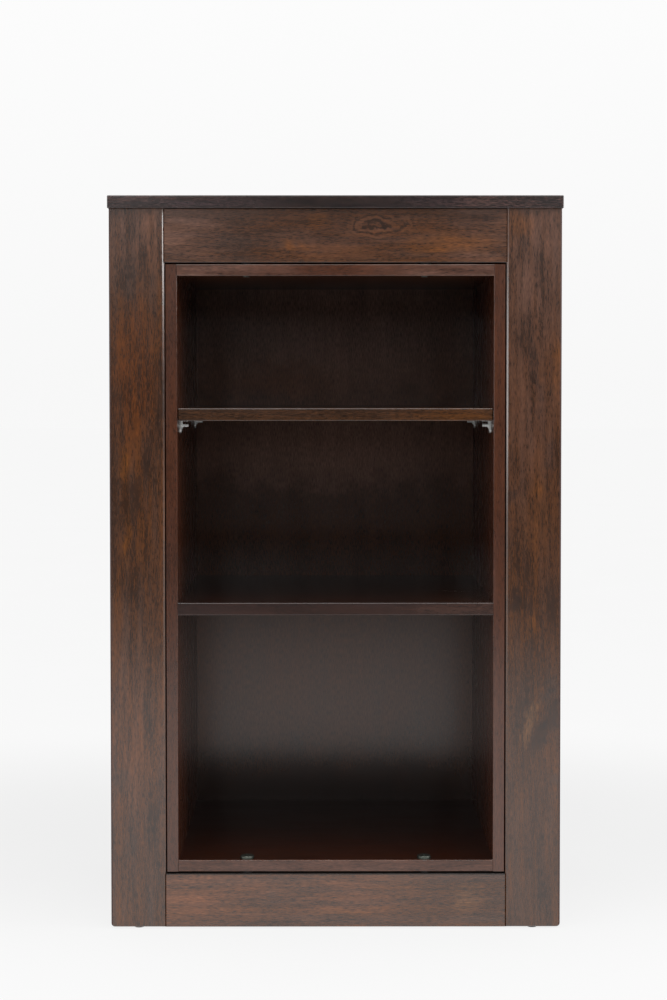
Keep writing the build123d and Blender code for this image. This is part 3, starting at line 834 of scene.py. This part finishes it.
def studio_world():
    """White paper to the camera, and the light that it gives.

    The light comes from above and from behind the bookcase. There is hardly any at eye level, so
    that glossy wood stays dark, nor in a higher strip in the middle, where the camera stands.
    """
    world = bpy.data.worlds.new("studio")
    bpy.context.scene.world = world
    graph = Graph(world)
    direction = graph.node("ShaderNodeTexCoord").outputs["Generated"]
    sideways, forward, upward = graph.node("ShaderNodeSeparateXYZ", {0: direction}).outputs
    from_stand = graph.maths("ABSOLUTE", graph.maths("SUBTRACT", sideways, 0.020))
    stand = graph.mapped(from_stand, 0.055, 0.115, 0.30, 0.0, smooth=True)
    above = graph.mapped(graph.maths("SUBTRACT", upward, stand), 0.068, 0.098, smooth=True)
    overhead = graph.mapped(upward, 0.3, 0.7, 1.0, 0.5, smooth=True)
    above = graph.maths("MULTIPLY", above, overhead)
    rear = graph.mapped(forward, 0.2, 0.5, smooth=True)
    off_centre = graph.maths("ABSOLUTE", sideways)
    central = graph.mapped(off_centre, 0.45, 0.75, 1.0, 0.0, smooth=True)
    behind = graph.maths("MULTIPLY", graph.maths("MULTIPLY", rear, central), 0.6)
    glow = graph.mapped(graph.maths("MAXIMUM", above, behind), 0.0, 1.0, 0.02, 1.46)
    paper = graph.mapped(upward, 0.0, 0.2, 0.935, 0.975)
    light = graph.node("ShaderNodeBackground", {"Color": WHITE, "Strength": glow})
    backdrop = graph.node("ShaderNodeBackground", {"Color": WHITE, "Strength": paper})
    seen = graph.node("ShaderNodeLightPath").outputs["Is Camera Ray"]
    shaders = {0: seen, 1: light.outputs[0], 2: backdrop.outputs[0]}
    mix = graph.node("ShaderNodeMixShader", shaders)
    graph.node("ShaderNodeOutputWorld", {"Surface": mix.outputs[0]})


studio_world()


def add_softbox(name, place, target, width, height, radiance):
    """Rectangular soft light that faces a point."""
    light = bpy.data.lights.new(name, "AREA")
    light.shape = "RECTANGLE"
    light.size = width
    light.size_y = height
    light.energy = radiance * math.pi * width * height
    lamp = bpy.data.objects.new(name, light)
    lamp.location = place
    lamp.rotation_euler = (Vector(target) - Vector(place)).to_track_quat("-Z", "Y").to_euler()
    bpy.context.scene.collection.objects.link(lamp)


add_softbox(
    "right_box",
    place=(1.9, -0.55, 1.56),
    target=(0.0, -0.3, 1.2),
    width=0.8,
    height=1.2,
    radiance=7.0,
)
add_softbox(
    "left_box",
    place=(-1.9, -0.55, 0.75),
    target=(0.0, -0.3, 0.75),
    width=0.8,
    height=0.44,
    radiance=3.6,
)
add_softbox(
    "top_box",
    place=(0.0, -0.9, 2.6),
    target=(0.0, -0.1, 0.5),
    width=1.6,
    height=1.0,
    radiance=5.0,
)

SENSOR_WIDTH_MM = 36.0
LENS_MM = 70.9092
SHIFT_UP = -0.0516
CAMERA_PLACE = (-0.0077, -2.8366, 0.7362)
LEVEL = math.pi / 2
CAMERA_TURN = (LEVEL - 0.0327, 0.0003, -0.0019)


def add_camera():
    """The camera in front of the bookcase, which looks along +Y and very slightly down."""
    data = bpy.data.cameras.new("camera")
    data.sensor_fit = "AUTO"
    data.sensor_width = SENSOR_WIDTH_MM
    data.lens = LENS_MM
    data.shift_y = SHIFT_UP
    data.clip_end = 200.0
    camera = bpy.data.objects.new("camera", data)
    camera.location = CAMERA_PLACE
    camera.rotation_euler = CAMERA_TURN
    bpy.context.scene.collection.objects.link(camera)
    bpy.context.scene.camera = camera


add_camera()
bpy.context.scene.view_settings.view_transform = "Standard"
